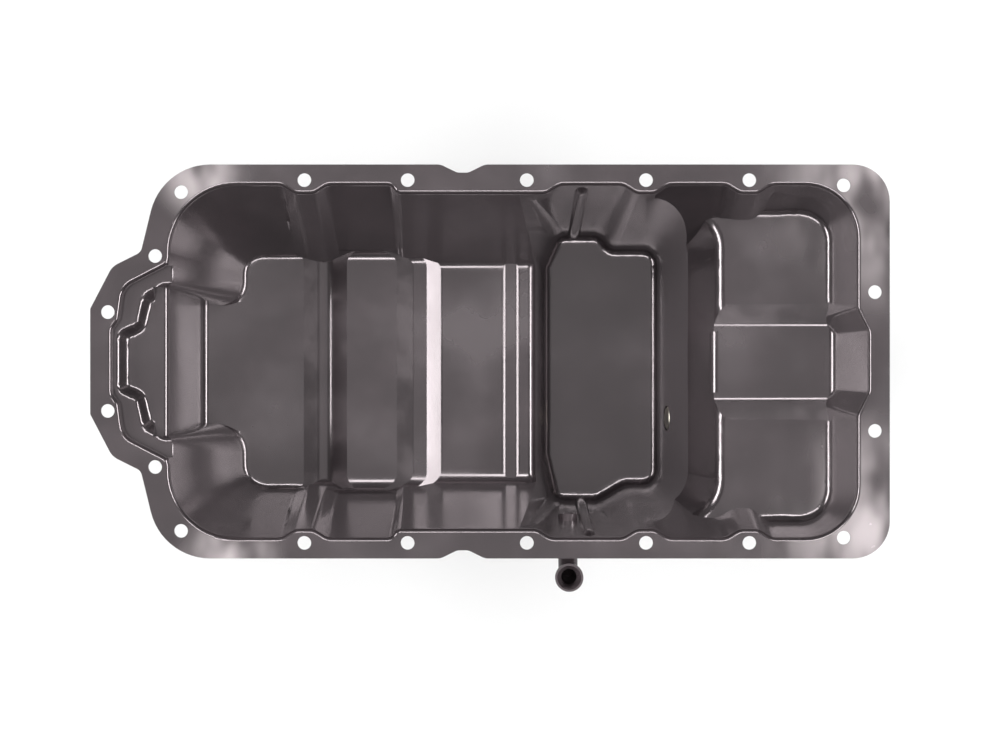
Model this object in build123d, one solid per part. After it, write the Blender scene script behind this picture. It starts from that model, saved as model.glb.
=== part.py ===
import os

from build123d import *

os.makedirs("parts", exist_ok=True)

# Sheet and flange
sheet = 1.5
flange_half_width = 106.4
flange_right = 196.0
flange_corner = 20.0
flange_left_corner = 33.0
shoulder_x = -196.9
nose_x = -235.8
nose_half = 28.5
nose_chamfer = (-223.9, 51.3)
nose_neck = (-208.5, 59.0)
notch_x = -34.6
notch_depth = 4.4
notch_foot = 3.0
notch_half = 12.0

# Bolt holes, the centre of the main rectangle is the origin
hole_radius = 3.7
bolt_y = 98.0
bolt_outer_x = 120.2
bolt_inner_x = 64.4
front_bolt = (-186.8, 91.5)
neck_bolt = (-200.8, 57.0)
nose_bolt = (-226.4, 26.7)
rear_bolt = (188.1, 37.5)
corner_bolt = (171.2, 95.2)

# Opening of the pan in the flange
rim_y = 95.0
rim_boss_y = 90.3
boss_inner = 5.0
boss_outer = 12.5
boss_round = 8.0
lip = 3.3
rim_bend = 2.8
rim_right = 178.3
rim_jog_right = 184.6
rim_jog_half = 16.0
rim_jog_end = 29.0
rim_rear_corner = 28.0
rim_left = -193.0
rim_front_corner = 36.0
ledge_left = -70.4
ledge_right_up = 10.6
ledge_right_down = 5.5
throat = (-193.0, 52.8)
nose_rim_corner = (-218.2, 39.8)
nose_rim_jog = (-220.5, 22.5)
nose_rim_end = (-224.2, 17.5)

# Overlap of the hollow above the gasket face, and play of a rounded foot behind its wall
overlap = 2.0
foot_slack = 0.25

# Floor depths below the gasket face
lobe_depth = 6.0
nose_depth = 12.5
channel_depth = 70.5
front_depth = 75.0
groove_depth = 80.5
plateau_depth = 72.5
shelf_depth = 76.5
ledge_depth = 82.0
pocket_depth = 132.0
pad_depth = 30.0
mid_pad_depth = 35.0
funnel_depth = 55.0
funnel_top = 107.9
funnel_low = 92.3
funnel_round = 9.5

# Long side walls of the front part, at the rim and at their reference depth
wall_depth = 92.0
wall_up = 53.0
wall_down = 66.6
front_wall_left = -154.7
throat_inner = 41.0
channel_half_up = 30.6
channel_half_down = 33.0

# Pocket
pocket_left = 12.2
pocket_left_rim = -4.4
pocket_right = 80.4
pocket_right_rim = 100.3
pocket_corner = 31.0
pocket_up_wide = 77.0
pocket_up_narrow = 68.3
pocket_down_wide = 83.4
pocket_down_narrow = 73.5
pocket_foot_round = 6.2
step_up = 52.0
step_down = 61.0
roll_radius = 6.0

# Beads in the pocket walls
bead_x_up = 30.2
bead_x_down = 34.2
bead_radius = 4.0
bead_back = 1.5
bead_start = 12.0
bead_bend = 9.0

# Tube brazed into the pocket wall
tube_x = 24.2
tube_depth = 60.0
tube_radius = 5.5
tube_wall = 1.2
tube_bend = 12.0
tube_inner_end = 86.4
tube_mouth_y = 120.5
tube_mouth_depth = 36.0
bell_length = 6.0
bell_land = 2.5
bell_radius = 7.9
braze_radius = 8.0

# Drain in the rear wall of the pocket
drain_y = -33.0
drain_rise = 26.0
drain_hole_radius = 7.6
nut_flats = 24.0
nut_height = 9.0
nut_base = 3.0
nut_base_radius = 15.0
thread_radius = 7.0
thread_clearance = 0.05
washer_radius = 11.0
washer_clearance = 0.25
washer_thickness = 1.5
plug_flats = 19.0
plug_head = 7.0
plug_collar = 2.0
plug_collar_radius = 12.0
plug_chamfer = 1.0
plug_dimple = 4.0

# Rear shallow end
rear_start = 70.0
rear_mid_foot = 170.7
mid_half = 20.0
mid_slope_end = 32.0


def outward(points, radii, grow):
    """Move every side of a closed outline out by grow and fit its corner radii."""
    count = len(points)
    area = sum(
        points[i - 1][0] * points[i][1] - points[i][0] * points[i - 1][1]
        for i in range(count)
    )
    turn = 1.0 if area > 0 else -1.0
    moved = []
    rounds = []
    for i in range(count):
        before, here, after = points[i - 1], points[i], points[(i + 1) % count]
        d1 = Vector(here[0] - before[0], here[1] - before[1]).normalized()
        d2 = Vector(after[0] - here[0], after[1] - here[1]).normalized()
        n1 = Vector(d1.Y, -d1.X) * turn
        n2 = Vector(d2.Y, -d2.X) * turn
        mitre = (n1 + n2) * (grow / (1.0 + n1.dot(n2)))
        moved.append((here[0] + mitre.X, here[1] + mitre.Y))
        bend = (d1.X * d2.Y - d1.Y * d2.X) * turn
        if radii[i] == 0:
            rounds.append(0)
        else:
            rounds.append(max(radii[i] + (grow if bend > 0 else -grow), 0.4))
    return moved, rounds


def outline(points, radii, grow, plane):
    """Closed face from corner points and corner radii, grown by grow."""
    moved, rounds = outward(points, radii, grow)
    curve = FilletPolyline(*moved, radius=rounds, close=True)
    return plane * make_face(curve)


def tub(rim, foot, depth, grow, reach, slack=0.0):
    """Walls that run straight from the rim outline to the foot outline."""
    faces = []
    for level in (-overlap, reach + grow):
        share = (level - lip) / (depth - lip)
        points = []
        radii = []
        for (rx, ry, rr), (fx, fy, fr) in zip(rim, foot):
            points.append((rx + (fx - rx) * share, ry + (fy - ry) * share))
            radii.append(max(rr + (fr - rr) * share, 0))
        faces.append(outline(points, radii, grow + slack, Plane.XY.offset(-level)))
    return loft(faces, ruled=True)


def side_profile(points, radii, grow):
    """Solid with a long-section outline, as wide as the pan."""
    face = outline(points, radii, grow, Plane.XZ)
    return extrude(face, 140, both=True)


def cross_profile(points, radii, grow, x_start, x_end):
    """Solid with a cross-section outline, running along the pan."""
    face = outline(points, radii, grow, Plane.YZ.offset(x_start))
    return extrude(face, x_end - x_start)


def mirrored(points):
    """Lower half of a symmetric outline, in the order that closes it."""
    return [(x, -y, *rest) for x, y, *rest in reversed(points)]


def rim_boss(x):
    """Inward swell of the opening around one bolt, going from +X to -X."""
    return [
        (x + boss_outer, rim_y, boss_round),
        (x + boss_inner, rim_boss_y, boss_round),
        (x - boss_inner, rim_boss_y, boss_round),
        (x - boss_outer, rim_y, boss_round),
    ]


def rim_half(ledge_right):
    """Half of the flange opening, from the rear end to the nose."""
    return [
        (rim_jog_right, rim_jog_half, 4.5),
        (rim_right, rim_jog_end, 4.5),
        (rim_right, rim_y, rim_rear_corner),
        *rim_boss(bolt_outer_x),
        *rim_boss(bolt_inner_x),
        (ledge_right + boss_outer - boss_inner, rim_y, boss_round),
        (ledge_right, rim_boss_y, boss_round),
        (ledge_left, rim_boss_y, 4.0),
        (ledge_left - 2.9, rim_y, 4.0),
        *rim_boss(-bolt_outer_x),
        (rim_left, rim_y, rim_front_corner),
        (throat[0], throat[1], 7.0),
        (nose_rim_corner[0], nose_rim_corner[1], 10.0),
        (nose_rim_jog[0], nose_rim_jog[1], 5.0),
        (nose_rim_end[0], nose_rim_end[1], 5.0),
    ]


def opening(grow):
    """Upright prism of the flange opening, it gives the rim its clean edge."""
    corners = rim_half(ledge_right_up) + mirrored(rim_half(ledge_right_down))
    points = [(x, y) for x, y, r in corners]
    radii = [r for x, y, r in corners]
    face = outline(points, radii, grow, Plane.XY.offset(overlap if grow == 0 else 0.0))
    return extrude(face, -150)


def front_half(wall, channel, foot_corner, throat_round):
    """Half of the front walls: corners as (rim point, foot point)."""
    low = wall + 0.6
    return [
        ((20.0, rim_boss_y, 0), (20.0, wall, 0)),
        ((ledge_left, rim_boss_y, 4.0), (ledge_left, wall, 4.0)),
        ((ledge_left - 2.9, rim_y, 4.0), (ledge_left - 2.9, low, 4.0)),
        *[((x, y, r), (x, low if y == rim_y else wall, r)) for x, y, r in rim_boss(-bolt_outer_x)],
        ((rim_left, rim_y, rim_front_corner), (front_wall_left, low, foot_corner)),
        ((throat[0], throat_inner, 5.0), (front_wall_left, channel, throat_round)),
        ((-240.0, throat_inner, 0), (-240.0, channel, 0)),
    ]


def front_walls(grow, reach=wall_depth, plain=False):
    """Walls of the front part with the narrow channel to the nose."""
    up = front_half(wall_up, channel_half_up, 5.5, 15.5)
    down = front_half(wall_down, channel_half_down, 9.0, 22.0)
    if plain:
        start = ((20.0, rim_y, 0), (20.0, wall_up + 0.6, 0))
        up = [start] + up[-3:]
        start = ((20.0, rim_y, 0), (20.0, wall_down + 0.6, 0))
        down = [start] + down[-3:]
    rim = [a for a, b in up] + mirrored([a for a, b in down])
    foot = [b for a, b in up] + mirrored([b for a, b in down])
    return tub(rim, foot, wall_depth, grow, reach, foot_slack if plain else 0.0)


def wall_at(foot, depth):
    """Distance of a long side wall from the centre line at a depth."""
    return rim_y + (foot - rim_y) * (depth - lip) / (wall_depth - lip)


def trough_points(depth, slack):
    """Cross-section corners of the long side walls down to a floor."""
    high = 20.0
    return [
        (wall_at(wall_up, -high) + slack, high),
        (-wall_at(wall_down, -high) - slack, high),
        (-wall_at(wall_down, depth) - slack, -depth),
        (wall_at(wall_up, depth) + slack, -depth),
    ]


def trough(depth, slack, grow, x_start, x_end):
    """Rounded foot of the side walls for a floor at one depth."""
    return cross_profile(trough_points(depth, slack), [0, 0, 12.0, 9.0], grow, x_start, x_end)


def level(points, radii, depth, slack, grow):
    """One floor of the front part: long section crossed with a trough."""
    start = min(x for x, z in points) - 5.0
    end = max(x for x, z in points) + 5.0
    return side_profile(points, radii, grow) & trough(depth, slack, grow, start, end)


def front_floor(grow):
    """Floor of the channel and of the first step, with its foot rounding."""
    shape = front_walls(grow, front_depth, plain=True)
    foot = shape.faces().sort_by(Axis.Z)[0].edges()
    foot = foot.filter_by(lambda e: -200 < e.center().X < 10)
    rounded = fillet(foot, 5.0 + grow)
    run = [
        (-203.0, 6.0),
        (-203.0, -nose_depth + 0.1),
        (-196.1, -nose_depth + 0.1),
        (-185.2, -channel_depth),
        (-163.5, -front_depth - 0.1),
        (-150.0, -front_depth - 2.0),
        (-115.0, -front_depth - 2.0),
        (-115.0, 6.0),
    ]
    return rounded & side_profile(run, [0, 0, 4.0, 5.0, 0, 0, 0, 0], grow)


def front_void(grow):
    """Hollow of the front part: walls, stepped floor and channel."""
    base = [(-125.0, 6.0), (-125.0, -plateau_depth), (20.0, -plateau_depth), (20.0, 6.0)]
    groove = [
        (-144.0, -69.0),
        (-128.0, -front_depth),
        (-115.6, -groove_depth),
        (-102.8, -plateau_depth),
        (-97.2, -69.0),
    ]
    shelf = [
        (-82.3, -69.0),
        (-64.5, -shelf_depth),
        (-40.0, -shelf_depth),
        (-40.0, -60.0),
        (-60.0, -60.0),
    ]
    ledge = [
        (-65.5, -71.0),
        (-48.3, -ledge_depth),
        (-13.1, -ledge_depth),
        (-11.1, -ledge_depth + 1.2),
        (-5.2, -ledge_depth + 1.2),
        (-3.2, -ledge_depth),
        (20.0, -ledge_depth),
        (20.0, -60.0),
        (-50.0, -60.0),
    ]
    floors = front_floor(grow)
    floors += level(base, [0] * 4, plateau_depth, 0.4, grow)
    floors += level(groove, [0, 0, 10.0, 0, 0], groove_depth, 0.55, grow)
    floors += level(shelf, [0, 2.5, 0, 0, 0], shelf_depth, 0.7, grow)
    floors += level(ledge, [0, 2.5, 2.5, 2.5, 2.5, 2.5, 0, 0, 0], ledge_depth, 0.85, grow)
    floors += ledge_roll(grow)
    return front_walls(grow) & floors


def ledge_roll(grow):
    """Rounded edge where the ledge rolls over into the pocket."""
    lean = (pocket_left - pocket_left_rim) / (pocket_depth - lip)
    low = ledge_depth + roll_radius
    edge = pocket_left_rim + lean * (low - lip)
    x = edge - roll_radius * (1 + lean ** 2) ** 0.5 + 0.08
    face = outline(trough_points(ledge_depth, 0.85), [0, 0, 12.0, 9.0], grow, Plane.YZ.offset(x))
    return revolve(face, Axis((x, 0, -low), (0, 1, 0)), 82.0)


def pocket_half(wide, narrow, step, side, plain):
    """Half of the pocket walls: corners as (rim point, foot point)."""
    left = bolt_inner_x - boss_outer
    corner = (-4.0, rim_y, 4.0)
    return [
        ((pocket_right_rim, rim_y, pocket_corner), (pocket_right, narrow, 9.0)),
        ((bolt_inner_x - boss_inner, rim_boss_y, boss_round), (step[0], narrow, step[2])),
        ((left, rim_y, boss_round), (step[1], wide, step[2])),
        (corner, (side[0], wide - 0.3, 8.0)),
        ((pocket_left_rim, 84.0, 0 if plain else 10.0), (pocket_left, side[1], 0 if plain else 14.0)),
    ]


def pocket_walls(grow, plain, reach):
    """Walls of the deep pocket."""
    up = pocket_half(pocket_up_wide, pocket_up_narrow, (step_up, 45.0, 7.8), (21.3, 57.0), plain)
    down = pocket_half(pocket_down_wide, pocket_down_narrow, (step_down, 44.0, 12.0), (19.0, 54.0), plain)
    rim = [a for a, b in up] + mirrored([a for a, b in down])
    foot = [b for a, b in up] + mirrored([b for a, b in down])
    return tub(rim, foot, pocket_depth, grow, reach, foot_slack if plain else 0.0)


def pocket_void(grow):
    """Deep pocket of the sump with its rounded foot."""
    shape = pocket_walls(grow, True, pocket_depth)
    edges = shape.faces().sort_by(Axis.Z)[0].edges()
    rounded = fillet(edges, pocket_foot_round + grow)
    return pocket_walls(grow, False, pocket_depth + 1.0) & rounded


def rear_half(side, boss, left, plain):
    """Half of the rear walls: corners as (rim point, foot point)."""
    end = 166.3
    corner = [((rim_right, rim_y, rim_rear_corner), (end, side, 15.0))]
    jog = [
        ((rim_jog_right, rim_jog_half, 4.5), (rear_mid_foot, 15.0, 4.5)),
        ((rim_right, rim_jog_end, 4.5), (end, 24.0, 4.5)),
    ]
    x = bolt_outer_x
    swell = [] if plain else [
        ((x + boss_outer, rim_y, boss_round), (x + boss_outer + 1.0, side, 9.0)),
        ((x + boss_inner, rim_boss_y, boss_round), (x + boss_inner, boss, 9.0)),
        ((x - boss_inner, rim_boss_y, boss_round), (x - boss_inner, boss, 9.0)),
        ((x - boss_outer, rim_y, boss_round), (x - boss_outer - 1.0, left, 9.0)),
    ]
    back = [((rear_start, rim_y, 0), (rear_start, left, 0))]
    return (corner if plain else jog + corner) + swell + back


def rear_walls(grow, reach, plain=False):
    """Walls of the shallow rear end."""
    up = rear_half(81.7, 76.7, 77.5, plain)
    down = rear_half(86.4, 79.6, 85.0, plain)
    rim = [a for a, b in up] + mirrored([a for a, b in down])
    foot = [b for a, b in up] + mirrored([b for a, b in down])
    return tub(rim, foot, mid_pad_depth, grow, reach, foot_slack if plain else 0.0)


def rear_pads(grow):
    """Floor of the two shallow pads, rounded into the walls."""
    shape = rear_walls(grow, pad_depth, plain=True)
    edges = shape.faces().sort_by(Axis.Z)[0].edges()
    return fillet(edges.filter_by(lambda e: e.center().X > 75), 6.0 + grow)


def middle_pad(grow):
    """Lower strip between the two pads, up to the notch in the rear rim."""
    drop = 25.0
    lean = (funnel_top - funnel_low) / (funnel_depth - pad_depth)
    start = funnel_top - lean * (mid_pad_depth - pad_depth) + 0.3
    run = [
        (60.0, 6.0),
        (60.0, -mid_pad_depth - drop),
        (start - lean * drop, -mid_pad_depth - drop),
        (start, -mid_pad_depth),
        (rear_mid_foot + 0.3, -mid_pad_depth),
        (rear_mid_foot + 18.3, 6.0),
    ]
    low = -mid_pad_depth
    cross = [
        (mid_slope_end + 1.0, 6.0),
        (-mid_slope_end - 1.0, 6.0),
        (-mid_slope_end - 1.0, -pad_depth + 0.4),
        (-mid_half, low),
        (mid_half, low),
        (mid_slope_end + 1.0, -pad_depth + 0.4),
    ]
    dip = [(18.8, 6.0), (-18.8, 6.0), (-16.0, low - drop), (16.0, low - drop)]
    strip = side_profile(run, [0, 0, 0, 7.5, 7.0, 0], grow)
    width = cross_profile(cross, [0, 0, 0, 5.0, 5.0, 0], grow, 60.0, 200.0)
    return strip & (width + cross_profile(dip, [0, 0, 0, 0], grow, 60.0, 200.0))


def funnel(grow):
    """Steep slope between the rear pads and the pocket, rounded at its top."""
    top = [(funnel_top, 84.0, 20.0), (20.0, 84.0, 0), (20.0, -88.0, 0), (funnel_top, -88.0, 22.0)]
    low = [(funnel_low, 83.0, 22.0), (20.0, 83.0, 0), (20.0, -85.0, 0), (funnel_low, -85.0, 22.0)]
    run = funnel_top - funnel_low
    drop = funnel_depth - pad_depth
    aside = grow * (run ** 2 + drop ** 2) ** 0.5 / drop
    faces = []
    for share in (-0.3, 1.15):
        points = []
        radii = []
        for (ax, ay, ar), (bx, by, br) in zip(top, low):
            points.append((ax + (bx - ax) * share, ay + (by - ay) * share))
            radii.append(ar + (br - ar) * share)
        faces.append(outline(points, radii, aside, Plane.XY.offset(-pad_depth - drop * share)))
    slope = loft(faces, ruled=True)
    slab = Pos(70, 0, -(pad_depth + grow) + 20) * Box(160, 240, 40)
    shape = slab + slope
    low = -(pad_depth + grow)
    edges = shape.edges().filter_by(
        lambda e: abs(e.center().Z - low) < 0.01 and 80 < e.center().X < 120
    )
    rounded = fillet(edges, funnel_round - grow)
    return rounded & (Pos(69.75, 0, -28) * Box(100.5, 230, 68))


def rear_void(grow):
    """Hollow of the rear end."""
    floors = rear_pads(grow) + middle_pad(grow) + funnel(grow)
    return rear_walls(grow, 60.0) & floors


def nose_void(grow):
    """Shallow landing in the nose, with two higher lobes beside it."""
    half = [
        ((-180.0, 44.0, 0), (-180.0, 38.0, 0)),
        ((-199.0, 44.0, 6.0), (-195.5, 38.0, 6.0)),
        ((-211.0, 37.5, 7.0), (-204.5, 33.0, 7.0)),
        ((-213.5, 21.5, 6.0), (-208.5, 17.5, 6.0)),
        ((-224.5, 17.0, 5.0), (-217.5, 13.5, 5.0)),
    ]
    rim = [a for a, b in half] + mirrored([a for a, b in half])
    foot = [b for a, b in half] + mirrored([b for a, b in half])
    landing = tub(rim, foot, nose_depth, grow, nose_depth)
    edges = landing.faces().sort_by(Axis.Z)[0].edges()
    landing = fillet(edges.filter_by(lambda e: e.center().X < -185), 4.0 + grow)
    lobes = Pos(-210, 0, (2.0 - lobe_depth - grow) / 2)
    lobes = lobes * Box(40 + 2 * grow, 104 + 2 * grow, 2.0 + lobe_depth + grow)
    shape = landing + lobes
    brink = shape.edges().filter_by(
        lambda e: abs(e.center().Z + lobe_depth + grow) < 0.01 and abs(e.center().Y) < 50
    )
    brink = brink.filter_by(lambda e: -228 < e.center().X < -189)
    return fillet(brink, 3.5 - grow)


def wall_bead(side, x, foot, grow):
    """Upright bead pressed into a long wall of the pocket."""
    lean = (rim_y - foot) / (pocket_depth - lip)
    start = lip + bead_start
    top = Vector(x, side * (rim_y - lean * bead_start + bead_back), -start)
    run = Vector(0, -side * lean, -1)
    length = pocket_depth - start + 5.0
    path = Wire([
        Edge.make_line(top + run * length, top),
        TangentArc(top, top + Vector(0, side * bead_bend, bead_bend), tangent=-run).edge(),
    ])
    return sweep(Plane(origin=path @ 0, z_dir=path % 0) * Circle(bead_radius - grow), path=path)


def void(grow):
    """Whole hollow of the pan, grown by the sheet for its outer side."""
    shape = front_void(grow) + pocket_void(grow) + rear_void(grow) + nose_void(grow)
    shape -= wall_bead(1, bead_x_up, pocket_up_wide, grow)
    shape -= wall_bead(-1, bead_x_down, pocket_down_wide, grow)
    return shape & opening(grow)


def flange():
    """Flat gasket flange with its bolt holes."""
    top = flange_half_width
    half = [
        (flange_right, top, flange_corner),
        (notch_x + notch_half, top, 8.0),
        (notch_x + notch_foot, top - notch_depth, 5.0),
        (notch_x - notch_foot, top - notch_depth, 5.0),
        (notch_x - notch_half, top, 8.0),
        (shoulder_x, top, flange_left_corner),
        (nose_neck[0], nose_neck[1], 5.0),
        (nose_chamfer[0], nose_chamfer[1], 10.0),
        (nose_x, nose_half, 3.0),
    ]
    corners = half + mirrored(half)
    points = [(x, y) for x, y, r in corners]
    radii = [r for x, y, r in corners]
    plate = extrude(outline(points, radii, 0, Plane.XY), -sheet)
    for x, y in bolts():
        plate -= Pos(x, y, -sheet / 2) * Cylinder(hole_radius, 4 * sheet)
    return plate


def bolts():
    """Centres of all bolt holes."""
    right = [(bolt_outer_x, bolt_y), (bolt_inner_x, bolt_y), rear_bolt, corner_bolt]
    left = [(-bolt_outer_x, bolt_y), (-bolt_inner_x, bolt_y), front_bolt, neck_bolt, nose_bolt]
    half = right + left + [(0.0, bolt_y)]
    return half + [(x, -y) for x, y in half]


def inner_loop(body, height):
    """Edges of the pan opening in the flange face at one height."""
    faces = body.faces().filter_by(lambda f: abs(f.center().Z - height) < 1e-3)
    face = faces.sort_by(SortBy.AREA)[-1]
    return sorted(face.inner_wires(), key=lambda w: w.length)[-1].edges()


def pan_body(skin):
    """One stamped sheet: flange and outer skin minus the hollow."""
    body = flange() + skin - void(0)
    body = fillet(inner_loop(body, 0.0), rim_bend)
    body = fillet(inner_loop(body, -sheet), rim_bend - sheet)
    body -= tube_seat() * Cylinder(tube_radius, 60)
    body -= drain_seat() * Cylinder(drain_hole_radius, 12)
    return body


def tube_seat():
    """Axis of the tube where it goes through the pocket wall, running outward."""
    return Plane(origin=(tube_x, -rim_y, -tube_depth), x_dir=(1, 0, 0), z_dir=(0, -1, 0))


def tube_path():
    """Centre line of the tube: out of the wall, then a bend up."""
    start = Vector(tube_x, -tube_inner_end, -tube_depth)
    bend = Vector(tube_x, -tube_mouth_y + tube_bend, -tube_depth)
    turn = Vector(tube_x, -tube_mouth_y, -tube_depth + tube_bend)
    end = Vector(tube_x, -tube_mouth_y, -tube_mouth_depth - bell_length)
    arc = TangentArc(bend, turn, tangent=(0, -1, 0))
    return Wire([Edge.make_line(start, bend), arc.edge(), Edge.make_line(turn, end)])


def tube_run(radius):
    """Round bar along the centre line of the tube."""
    path = tube_path()
    start = Plane(origin=path @ 0, z_dir=path % 0)
    return sweep(start * Circle(radius), path=path)


def bell(radius, flare):
    """Flared mouth of the tube, as a turned shape."""
    low = -bell_length
    face = make_face(
        Polyline(
            (0, low), (radius, low), (flare, -bell_land), (flare, 0), (0, 0), close=True
        )
    )
    place = Pos(tube_x, -tube_mouth_y, -tube_mouth_depth)
    return place * revolve(Plane.XZ * face, Axis.Z)


def elbow_tube(skin):
    """Bent steel tube with a flared mouth, brazed into the wall."""
    shape = tube_run(tube_radius) + bell(tube_radius, bell_radius)
    seat = tube_seat() * (Pos(0, 0, -2.0) * Cone(braze_radius, tube_radius, 8.0))
    shape += seat - skin
    return shape - tube_run(tube_radius - tube_wall) - bell(
        tube_radius - tube_wall, bell_radius - tube_wall
    )


def drain_seat():
    """Axis of the drain on the outer side of the rear pocket wall."""
    lean = (pocket_right_rim - pocket_right) / (pocket_depth - lip)
    depth = pocket_depth - drain_rise
    x = pocket_right_rim - lean * (depth - lip) + sheet
    return Plane(origin=(x, drain_y, -depth), x_dir=(0, 1, 0), z_dir=(1, 0, -lean))


def drain_nut():
    """Round weld nut on the outer side of the wall, with a hexagonal crown."""
    base = Pos(0, 0, nut_base / 2) * Cylinder(nut_base_radius, nut_base)
    crown = extrude(Plane.XY.offset(nut_base) * hexagon(nut_flats), nut_height - nut_base)
    bore = Pos(0, 0, nut_height / 2) * Cylinder(thread_radius + thread_clearance, 2 * nut_height)
    return drain_seat() * (base + crown - bore)


def hexagon(flats):
    """Hexagon by its width across flats."""
    return RegularPolygon(flats / 2, 6, major_radius=False)


def drain_washer():
    """Flat sealing washer between the nut and the plug."""
    ring = Circle(washer_radius) - Circle(thread_radius + washer_clearance)
    return drain_seat() * extrude(Plane.XY.offset(nut_height) * ring, washer_thickness)


def drain_plug():
    """Hexagon-headed plug with a collar and a plain shank that ends flush inside."""
    seat = nut_height + washer_thickness
    shank_length = seat + sheet
    shank = Pos(0, 0, seat - shank_length / 2) * Cylinder(thread_radius, shank_length)
    tip = shank.faces().sort_by(Axis.Z)[0].edges()
    shank = chamfer(tip, plug_chamfer)
    collar = Pos(0, 0, seat + plug_collar / 2) * Cylinder(plug_collar_radius, plug_collar)
    top = seat + plug_collar
    head = extrude(Plane.XY.offset(top) * hexagon(plug_flats), plug_head)
    crown = Pos(0, 0, top + plug_head / 2) * Cylinder(plug_flats / 2 + 1.0, plug_head)
    crown = chamfer(crown.faces().sort_by(Axis.Z)[-1].edges(), 1.6, 0.9)
    dimple = Pos(0, 0, top + plug_head) * Cylinder(plug_dimple, 2.4)
    return drain_seat() * (shank + collar + (head & crown) - dimple)


skin = void(sheet)
export_step(pan_body(skin), "parts/pan_body.step")
export_step(elbow_tube(skin), "parts/elbow_tube.step")
export_step(drain_nut(), "parts/drain_nut.step")
export_step(drain_washer(), "parts/drain_washer.step")
export_step(drain_plug(), "parts/drain_plug.step")
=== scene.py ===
import bpy
from bpy.props import FloatProperty, FloatVectorProperty, PointerProperty
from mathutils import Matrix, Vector


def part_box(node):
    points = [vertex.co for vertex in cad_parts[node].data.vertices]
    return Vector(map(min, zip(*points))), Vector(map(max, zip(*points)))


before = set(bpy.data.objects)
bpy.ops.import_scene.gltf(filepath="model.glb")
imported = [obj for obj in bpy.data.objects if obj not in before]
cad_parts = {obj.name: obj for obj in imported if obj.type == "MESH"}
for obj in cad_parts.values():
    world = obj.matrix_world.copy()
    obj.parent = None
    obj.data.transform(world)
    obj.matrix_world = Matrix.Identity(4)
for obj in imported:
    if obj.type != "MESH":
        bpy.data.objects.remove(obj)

bl_info = {
    "name": "Stamped Oil Pan Finish",
    "version": (1, 0, 0),
    "blender": (4, 5, 0),
    "location": "View3D > Sidebar > Oil Pan",
    "description": "Coating, drain hardware and studio for a stamped engine oil pan",
    "category": "Object",
}

PAN_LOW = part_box("pan_body")[0]
FLOOR_GAP = 0.0003

# Centre and reach of the painted reflection near each corner of the flange
CORNER_SHEEN_PLACES = (
    (0.194, 0.090, 0.075),
    (0.186, -0.088, 0.070),
    (-0.176, 0.100, 0.030),
    (-0.160, -0.106, 0.034),
)


# Settings


class CoatSettings(bpy.types.PropertyGroup):
    """Sizes and colours of the black coating"""

    colour: FloatVectorProperty(
        name="Coat colour", description="Colour of the coating in most places",
        subtype="COLOR", default=(0.0140, 0.0115, 0.0124), min=0.0, max=1.0,
    )
    warm: FloatVectorProperty(
        name="Warm colour", description="Colour where the coating lies thicker",
        subtype="COLOR", default=(0.0180, 0.0142, 0.0155), min=0.0, max=1.0,
    )
    haze: FloatVectorProperty(
        name="Haze colour", description="Thin pale haze on the flat floors",
        subtype="COLOR", default=(0.042, 0.037, 0.039), min=0.0, max=1.0,
    )
    corner_sheen: FloatVectorProperty(
        name="Corner sheen colour", description="Painted reflection near the corners of the flange",
        subtype="COLOR", default=(0.30, 0.27, 0.275), min=0.0, max=1.0,
    )
    steep_wall_light: FloatVectorProperty(
        name="Steep wall light", description="Painted light: lighter colour on the steep walls",
        subtype="COLOR", default=(0.058, 0.050, 0.053), min=0.0, max=1.0,
    )
    sheen: FloatVectorProperty(
        name="Gloss tint", description="Tint of the light that the coating mirrors",
        subtype="COLOR", default=(1.0, 0.90, 0.93), min=0.0, max=1.0,
    )
    corner_sheen_strength: FloatProperty(
        name="Corner sheen strength", description="Strength of the painted reflection on the flange corners",
        default=0.9, min=0.0, max=1.0,
    )
    roughness: FloatProperty(
        name="Roughness", description="Gloss of the coating, lower is glossier",
        default=0.16, min=0.05, max=1.0,
    )
    wave_depth: FloatProperty(
        name="Sheet waves", description="Height of the slow waves in the drawn sheet",
        default=0.00010, min=0.0, max=0.002, subtype="DISTANCE", unit="LENGTH",
    )
    peel_depth: FloatProperty(
        name="Orange peel", description="Height of the fine peel of the coating",
        default=0.0000035, min=0.0, max=0.0005, subtype="DISTANCE", unit="LENGTH",
    )


class DrainSettings(bpy.types.PropertyGroup):
    """Colours of the drain hardware"""

    plug_colour: FloatVectorProperty(
        name="Plug colour", description="Zinc plating of the drain plug",
        subtype="COLOR", default=(0.58, 0.55, 0.47), min=0.0, max=1.0,
    )
    washer_colour: FloatVectorProperty(
        name="Washer colour", description="Bare metal of the sealing washer",
        subtype="COLOR", default=(0.74, 0.74, 0.75), min=0.0, max=1.0,
    )


class StudioSettings(bpy.types.PropertyGroup):
    """Camera, lamps and floor"""

    camera_height: FloatProperty(
        name="Camera height", description="Height of the camera over the gasket face",
        default=1.053, min=0.3, max=5.0, subtype="DISTANCE", unit="LENGTH",
    )
    lens: FloatProperty(
        name="Lens", description="Focal length for a 36 mm wide frame",
        default=70.2, min=20.0, max=200.0,
    )
    side_power: FloatProperty(
        name="Side lamps", description="Power of each of the two side soft boxes",
        default=38.0, min=0.0, max=500.0, subtype="POWER",
    )
    top_power: FloatProperty(
        name="Overhead lamp", description="Power of the large soft box over the camera",
        default=13.5, min=0.0, max=500.0, subtype="POWER",
    )
    long_power: FloatProperty(
        name="Long side lamps", description="Power of each soft box beside the long walls",
        default=24.0, min=0.0, max=500.0, subtype="POWER",
    )
    floor_colour: FloatVectorProperty(
        name="Floor colour", description="Colour of the plain floor",
        subtype="COLOR", default=(0.30, 0.30, 0.30), min=0.0, max=1.0,
    )
    sky: FloatProperty(
        name="Sky level", description="Plain level of the light from all round",
        default=0.25, min=0.0, max=2.0,
    )


# Small helpers


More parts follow.
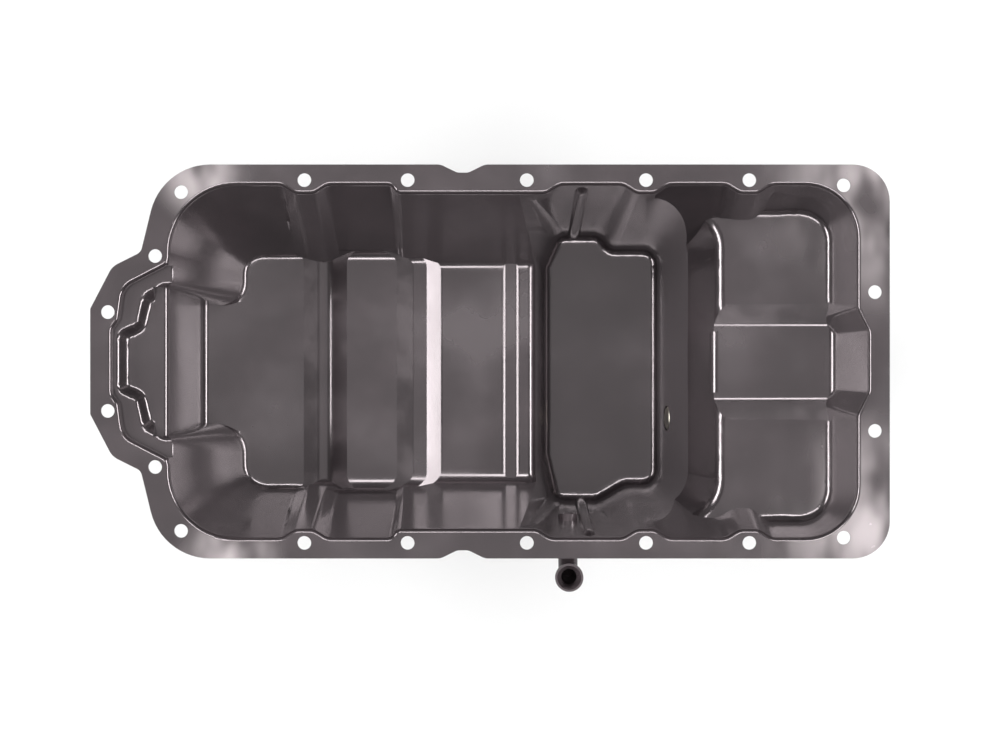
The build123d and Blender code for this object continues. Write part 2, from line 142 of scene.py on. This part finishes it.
def group(name, inputs, outputs):
    """New shader node group with the given sockets, its input and its output node."""
    tree = bpy.data.node_groups.new(name, "ShaderNodeTree")
    for label, kind, value in inputs:
        socket = tree.interface.new_socket(label, in_out="INPUT", socket_type=kind)
        if value is not None:
            socket.default_value = value
    for label, kind in outputs:
        tree.interface.new_socket(label, in_out="OUTPUT", socket_type=kind)
    return tree, tree.nodes.new("NodeGroupInput"), tree.nodes.new("NodeGroupOutput")


def noise(tree, vector, scale, detail, roughness):
    """Noise node on a vector, its Fac output."""
    node = tree.nodes.new("ShaderNodeTexNoise")
    node.inputs["Scale"].default_value = scale
    node.inputs["Detail"].default_value = detail
    node.inputs["Roughness"].default_value = roughness
    tree.links.new(vector, node.inputs["Vector"])
    return node.outputs["Fac"]


def ramp(tree, value, low, high, to_low=0.0, to_high=1.0):
    """Smooth change of a value from low to high."""
    node = tree.nodes.new("ShaderNodeMapRange")
    node.interpolation_type = "SMOOTHSTEP"
    node.inputs["From Min"].default_value = low
    node.inputs["From Max"].default_value = high
    node.inputs["To Min"].default_value = to_low
    node.inputs["To Max"].default_value = to_high
    tree.links.new(value, node.inputs["Value"])
    return node.outputs["Result"]


def maths(tree, operation, a, b):
    """Math node of two sockets or numbers."""
    node = tree.nodes.new("ShaderNodeMath")
    node.operation = operation
    for socket, value in zip(node.inputs, (a, b)):
        if isinstance(value, (int, float)):
            socket.default_value = value
        else:
            tree.links.new(value, socket)
    return node.outputs[0]


def blend_colour(tree, mask, a, b):
    """Mix of two colours by a mask."""
    node = tree.nodes.new("ShaderNodeMix")
    node.data_type = "RGBA"
    tree.links.new(mask, node.inputs["Factor"])
    for socket, value in ((node.inputs["A"], a), (node.inputs["B"], b)):
        if hasattr(value, "is_output"):
            tree.links.new(value, socket)
        else:
            socket.default_value = (*value, 1.0)
    return node.outputs["Result"]


def stretched(tree, vector, scale):
    """Vector scaled along each axis."""
    node = tree.nodes.new("ShaderNodeMapping")
    node.inputs["Scale"].default_value = scale
    tree.links.new(vector, node.inputs["Vector"])
    return node.outputs["Vector"]


# Shared effects


def sheet_waves_group():
    """Slow waves that drawing leaves in a thin sheet."""
    tree, given, made = group(
        "Sheet waves",
        [("Vector", "NodeSocketVector", None), ("Depth", "NodeSocketFloat", 0.0002)],
        [("Height", "NodeSocketFloat")],
    )
    vector = given.outputs["Vector"]
    broad = noise(tree, stretched(tree, vector, (1.0, 0.7, 0.6)), 22.0, 1.0, 0.4)
    small = noise(tree, vector, 75.0, 2.0, 0.5)
    total = maths(tree, "ADD", broad, maths(tree, "MULTIPLY", small, 0.18))
    height = maths(tree, "MULTIPLY", total, given.outputs["Depth"])
    tree.links.new(height, made.inputs["Height"])
    return tree


def orange_peel_group():
    """Fine peel and pinholes of a dipped coating."""
    tree, given, made = group(
        "Orange peel",
        [("Vector", "NodeSocketVector", None), ("Depth", "NodeSocketFloat", 0.00001)],
        [("Height", "NodeSocketFloat"), ("Speck", "NodeSocketFloat")],
    )
    vector = given.outputs["Vector"]
    peel = noise(tree, vector, 900.0, 3.0, 0.55)
    height = maths(tree, "MULTIPLY", peel, given.outputs["Depth"])
    speck = ramp(tree, noise(tree, vector, 420.0, 2.0, 0.5), 0.70, 0.76)
    tree.links.new(height, made.inputs["Height"])
    tree.links.new(speck, made.inputs["Speck"])
    return tree


def blotches_group():
    """Uneven patches where a coating lies thicker or has a haze."""
    tree, given, made = group(
        "Coat blotches",
        [("Vector", "NodeSocketVector", None), ("Scale", "NodeSocketFloat", 1.0)],
        [("Thick", "NodeSocketFloat"), ("Haze", "NodeSocketFloat")],
    )
    node = tree.nodes.new("ShaderNodeVectorMath")
    node.operation = "SCALE"
    tree.links.new(given.outputs["Vector"], node.inputs[0])
    tree.links.new(given.outputs["Scale"], node.inputs["Scale"])
    vector = node.outputs["Vector"]
    thick = ramp(tree, noise(tree, vector, 26.0, 4.0, 0.6), 0.36, 0.66)
    haze = ramp(tree, noise(tree, vector, 14.0, 3.0, 0.55), 0.42, 0.70)
    tree.links.new(thick, made.inputs["Thick"])
    tree.links.new(haze, made.inputs["Haze"])
    return tree


def painted_corner_sheen_group():
    """Painted reflection near the four outer corners of the flange, in soft streaks."""
    tree, given, made = group(
        "Painted corner sheen", [("Vector", "NodeSocketVector", None)], [("Corner Sheen", "NodeSocketFloat")]
    )
    vector = given.outputs["Vector"]
    total = 0.0
    for x, y, reach in CORNER_SHEEN_PLACES:
        node = tree.nodes.new("ShaderNodeVectorMath")
        node.operation = "DISTANCE"
        tree.links.new(vector, node.inputs[0])
        node.inputs[1].default_value = (x, y, 0.0)
        near = ramp(tree, node.outputs["Value"], 0.0, reach, 1.0, 0.0)
        total = maths(tree, "MAXIMUM", total, near)
    streak = noise(tree, stretched(tree, vector, (1.0, 0.5, 1.0)), 38.0, 2.0, 0.5)
    streak = ramp(tree, streak, 0.30, 0.62)
    tree.links.new(maths(tree, "MULTIPLY", total, streak), made.inputs["Corner Sheen"])
    return tree


# Materials


def use_group(tree, shared, vector, **values):
    """Place a shared group in a material with its own values."""
    node = tree.nodes.new("ShaderNodeGroup")
    node.node_tree = shared
    tree.links.new(vector, node.inputs["Vector"])
    for name, value in values.items():
        node.inputs[name].default_value = value
    return node


def bumped(tree, height):
    """Bump node on a height in metres, its normal."""
    node = tree.nodes.new("ShaderNodeBump")
    node.inputs["Strength"].default_value = 1.0
    node.inputs["Distance"].default_value = 1.0
    tree.links.new(height, node.inputs["Height"])
    return node.outputs["Normal"]


def new_material(name):
    """Material with a Principled shader and object coordinates."""
    material = bpy.data.materials.new(name)
    material.use_nodes = True
    tree = material.node_tree
    shader = tree.nodes["Principled BSDF"]
    place = tree.nodes.new("ShaderNodeTexCoord").outputs["Object"]
    return material, tree, shader, place


def upward(tree):
    """How far the surface faces up, 1 where it lies flat."""
    facing = tree.nodes.new("ShaderNodeNewGeometry")
    split = tree.nodes.new("ShaderNodeSeparateXYZ")
    tree.links.new(facing.outputs["Normal"], split.inputs["Vector"])
    return split.outputs["Z"]


def coated_material(name, coat, painted_light_gain, waves, shared):
    """Satin black dipped coating over pressed steel, with painted light: a gain that lightens
    the base colour, a lighter colour on the steep walls and a painted reflection near the
    flange corners.
    """
    material, tree, shader, place = new_material(name)
    blotch = use_group(tree, shared["blotches"], place, Scale=1.0)
    peel = use_group(tree, shared["peel"], place, Depth=coat.peel_depth)
    wave = use_group(tree, shared["waves"], place, Depth=coat.wave_depth * waves)
    # Painted light: the gain lightens the whole base colour, 1 leaves it as it is.
    base = blend_colour(
        tree, blotch.outputs["Thick"],
        tuple(c * painted_light_gain for c in coat.colour), tuple(c * painted_light_gain for c in coat.warm),
    )
    up = upward(tree)
    flat = ramp(tree, up, 0.93, 0.995)
    haze = maths(tree, "MULTIPLY", blotch.outputs["Haze"], flat)
    haze = maths(tree, "MULTIPLY", haze, 0.55)
    # Painted reflection: pale streaks near the flange corners.
    corner_sheen = use_group(tree, shared["corner_sheen"], place)
    corner_sheen = maths(tree, "MULTIPLY", corner_sheen.outputs["Corner Sheen"], flat)
    corner_sheen = maths(tree, "MULTIPLY", corner_sheen, coat.corner_sheen_strength)
    # Painted light: steep walls take a lighter colour than the flat coat.
    steep_light_mask = ramp(tree, up, 0.20, 0.55, 0.85, 0.0)
    colour = blend_colour(tree, steep_light_mask, base, tuple(coat.steep_wall_light))
    colour = blend_colour(tree, haze, colour, tuple(coat.haze))
    colour = blend_colour(tree, corner_sheen, colour, tuple(coat.corner_sheen))
    colour = blend_colour(
        tree, maths(tree, "MULTIPLY", peel.outputs["Speck"], 0.25),
        colour, tuple(coat.haze),
    )
    tree.links.new(colour, shader.inputs["Base Color"])
    rough = maths(tree, "MULTIPLY", blotch.outputs["Thick"], 0.07)
    rough = maths(tree, "ADD", rough, coat.roughness)
    rough = maths(tree, "ADD", rough, maths(tree, "MULTIPLY", haze, 0.12))
    tree.links.new(rough, shader.inputs["Roughness"])
    height = maths(tree, "ADD", peel.outputs["Height"], wave.outputs["Height"])
    tree.links.new(bumped(tree, height), shader.inputs["Normal"])
    shader.inputs["Specular IOR Level"].default_value = 1.0
    shader.inputs["Specular Tint"].default_value = (*coat.sheen, 1.0)
    return material


def plated_material(name, colour, scale, roughness, shared):
    """Plated or bare metal with fine bumps and dull patches."""
    material, tree, shader, place = new_material(name)
    blotch = use_group(tree, shared["blotches"], place, Scale=scale)
    peel = use_group(tree, shared["peel"], place, Depth=0.000006)
    dull = tuple(c * 0.62 for c in colour)
    base = blend_colour(tree, blotch.outputs["Thick"], tuple(colour), dull)
    tree.links.new(base, shader.inputs["Base Color"])
    shader.inputs["Metallic"].default_value = 1.0
    rough = maths(tree, "MULTIPLY", blotch.outputs["Haze"], 0.18)
    tree.links.new(maths(tree, "ADD", rough, roughness), shader.inputs["Roughness"])
    tree.links.new(bumped(tree, peel.outputs["Height"]), shader.inputs["Normal"])
    return material


def shared_groups():
    """The shared effects, made once."""
    made = bpy.data.node_groups
    if "Sheet waves" not in made:
        sheet_waves_group()
        orange_peel_group()
        blotches_group()
        painted_corner_sheen_group()
    return {
        "corner_sheen": made["Painted corner sheen"],
        "waves": made["Sheet waves"],
        "peel": made["Orange peel"],
        "blotches": made["Coat blotches"],
    }


def finish_node(name, material):
    """Give a part of the frame its material."""
    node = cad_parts[name]
    for slot in node.material_slots:
        slot.material = material


# Operators


class OILPAN_OT_coat_body(bpy.types.Operator):
    """Coat the stamped pan body"""

    bl_idname = "oilpan.coat_body"
    bl_label = "Coat Pan Body"

    def execute(self, context):
        material = coated_material(
            "coated_steel", context.scene.oilpan_coat, 1.0, 1.0, shared_groups()
        )
        finish_node("pan_body", material)
        return {"FINISHED"}


class OILPAN_OT_coat_fittings(bpy.types.Operator):
    """Coat the brazed tube and the weld nut, in a lighter copy of the coating as painted
    light
    """

    bl_idname = "oilpan.coat_fittings"
    bl_label = "Coat Tube and Nut"

    def execute(self, context):
        # Painted light: the tube and nut take the coating 2.6 times lighter.
        material = coated_material(
            "coated_tube", context.scene.oilpan_coat, 2.6, 0.15, shared_groups()
        )
        finish_node("elbow_tube", material)
        finish_node("drain_nut", material)
        return {"FINISHED"}


class OILPAN_OT_finish_drain(bpy.types.Operator):
    """Finish the drain plug and its washer"""

    bl_idname = "oilpan.finish_drain"
    bl_label = "Finish Drain Plug"

    def execute(self, context):
        drain = context.scene.oilpan_drain
        shared = shared_groups()
        plug = plated_material("zinc_plug", drain.plug_colour, 4.0, 0.28, shared)
        washer = plated_material("washer_metal", drain.washer_colour, 5.0, 0.35, shared)
        finish_node("drain_plug", plug)
        finish_node("drain_washer", washer)
        return {"FINISHED"}


class OILPAN_OT_build_stage(bpy.types.Operator):
    """Set up the floor, the sky, the soft boxes and the camera"""

    bl_idname = "oilpan.build_stage"
    bl_label = "Build Stage"

    def execute(self, context):
        studio = context.scene.oilpan_studio
        build_floor(studio)
        build_sky(studio)
        build_lamps(studio)
        build_camera(studio)
        context.scene.view_settings.view_transform = "Standard"
        return {"FINISHED"}


# Stage


def build_floor(studio):
    """Plain grey floor under the pan, which the lamps and its glow turn white."""
    bpy.ops.mesh.primitive_plane_add(size=9.0, location=(0, 0, PAN_LOW.z - FLOOR_GAP))
    floor = bpy.context.object
    floor.name = "floor"
    material = bpy.data.materials.new("floor")
    material.use_nodes = True
    tree = material.node_tree
    shader = tree.nodes["Principled BSDF"]
    shader.inputs["Base Color"].default_value = (*studio.floor_colour, 1.0)
    shader.inputs["Roughness"].default_value = 0.9
    shader.inputs["Specular IOR Level"].default_value = 0.1
    shader.inputs["Emission Color"].default_value = (1, 1, 1, 1)
    path = tree.nodes.new("ShaderNodeLightPath")
    glow = maths(tree, "MULTIPLY", path.outputs["Is Camera Ray"], 0.45)
    tree.links.new(glow, shader.inputs["Emission Strength"])
    floor.data.materials.append(material)


def build_sky(studio):
    """Even light from all round, white where the eye looks past the floor."""
    world = bpy.data.worlds.new("sky")
    bpy.context.scene.world = world
    world.use_nodes = True
    tree = world.node_tree
    back = tree.nodes["Background"]
    path = tree.nodes.new("ShaderNodeLightPath")
    level = ramp(tree, path.outputs["Is Camera Ray"], 0.0, 1.0, studio.sky, 1.0)
    tree.links.new(level, back.inputs["Strength"])
    back.inputs["Color"].default_value = (1, 1, 1, 1)


def soft_box(name, place, target, size, power):
    """Rectangular lamp that looks at a point."""
    data = bpy.data.lights.new(name, "AREA")
    data.shape = "RECTANGLE"
    data.size, data.size_y = size
    data.energy = power
    lamp = bpy.data.objects.new(name, data)
    bpy.context.scene.collection.objects.link(lamp)
    lamp.location = place
    lamp.rotation_euler = (Vector(target) - Vector(place)).to_track_quat("-Z", "Y").to_euler()
    return lamp


def build_lamps(studio):
    """Tall soft boxes beside the short ends and a large one over the camera."""
    for name, x, z in (("side_left", -1.3, 0.81), ("side_right", 1.3, 0.79)):
        soft_box(name, (x, 0.0, z), (0.0, 0.0, z), (1.5, 0.38), studio.side_power)
    for name, y in (("long_near", -1.0), ("long_far", 1.0)):
        soft_box(name, (0.0, y, 1.54), (0.0, 0.0, 0.0), (1.6, 0.3), studio.long_power)
    soft_box("overhead", (0.0, 0.0, 2.4), (0.0, 0.0, 0.0), (2.6, 2.6), studio.top_power)


def build_camera(studio):
    """Camera straight above the pan, a little left of and below its middle."""
    data = bpy.data.cameras.new("camera")
    data.lens = studio.lens
    data.sensor_width = 36.0
    data.clip_start = 0.01
    data.clip_end = 50.0
    camera = bpy.data.objects.new("camera", data)
    bpy.context.scene.collection.objects.link(camera)
    camera.location = (-0.0145, -0.0073, studio.camera_height)
    bpy.context.scene.camera = camera


# Panel


class OILPAN_PT_sidebar(bpy.types.Panel):
    bl_idname = "OILPAN_PT_sidebar"
    bl_label = "Oil Pan"
    bl_space_type = "VIEW_3D"
    bl_region_type = "UI"
    bl_category = "Oil Pan"

    def draw(self, context):
        layout = self.layout
        scene = context.scene
        for settings in (scene.oilpan_coat, scene.oilpan_drain, scene.oilpan_studio):
            box = layout.box()
            for key in settings.__annotations__:
                box.prop(settings, key)
        for operator in OPERATORS:
            layout.operator(operator.bl_idname)


SETTINGS = (CoatSettings, DrainSettings, StudioSettings)
OPERATORS = (
    OILPAN_OT_coat_body,
    OILPAN_OT_coat_fittings,
    OILPAN_OT_finish_drain,
    OILPAN_OT_build_stage,
)
CLASSES = (*SETTINGS, *OPERATORS, OILPAN_PT_sidebar)


def register():
    for cls in CLASSES:
        bpy.utils.register_class(cls)
    bpy.types.Scene.oilpan_coat = PointerProperty(type=CoatSettings)
    bpy.types.Scene.oilpan_drain = PointerProperty(type=DrainSettings)
    bpy.types.Scene.oilpan_studio = PointerProperty(type=StudioSettings)


def unregister():
    del bpy.types.Scene.oilpan_studio
    del bpy.types.Scene.oilpan_drain
    del bpy.types.Scene.oilpan_coat
    for cls in reversed(CLASSES):
        bpy.utils.unregister_class(cls)


def main():
    register()
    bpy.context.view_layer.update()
    bpy.ops.oilpan.coat_body()
    bpy.ops.oilpan.coat_fittings()
    bpy.ops.oilpan.finish_drain()
    bpy.ops.oilpan.build_stage()


if __name__ == "__main__":
    main()
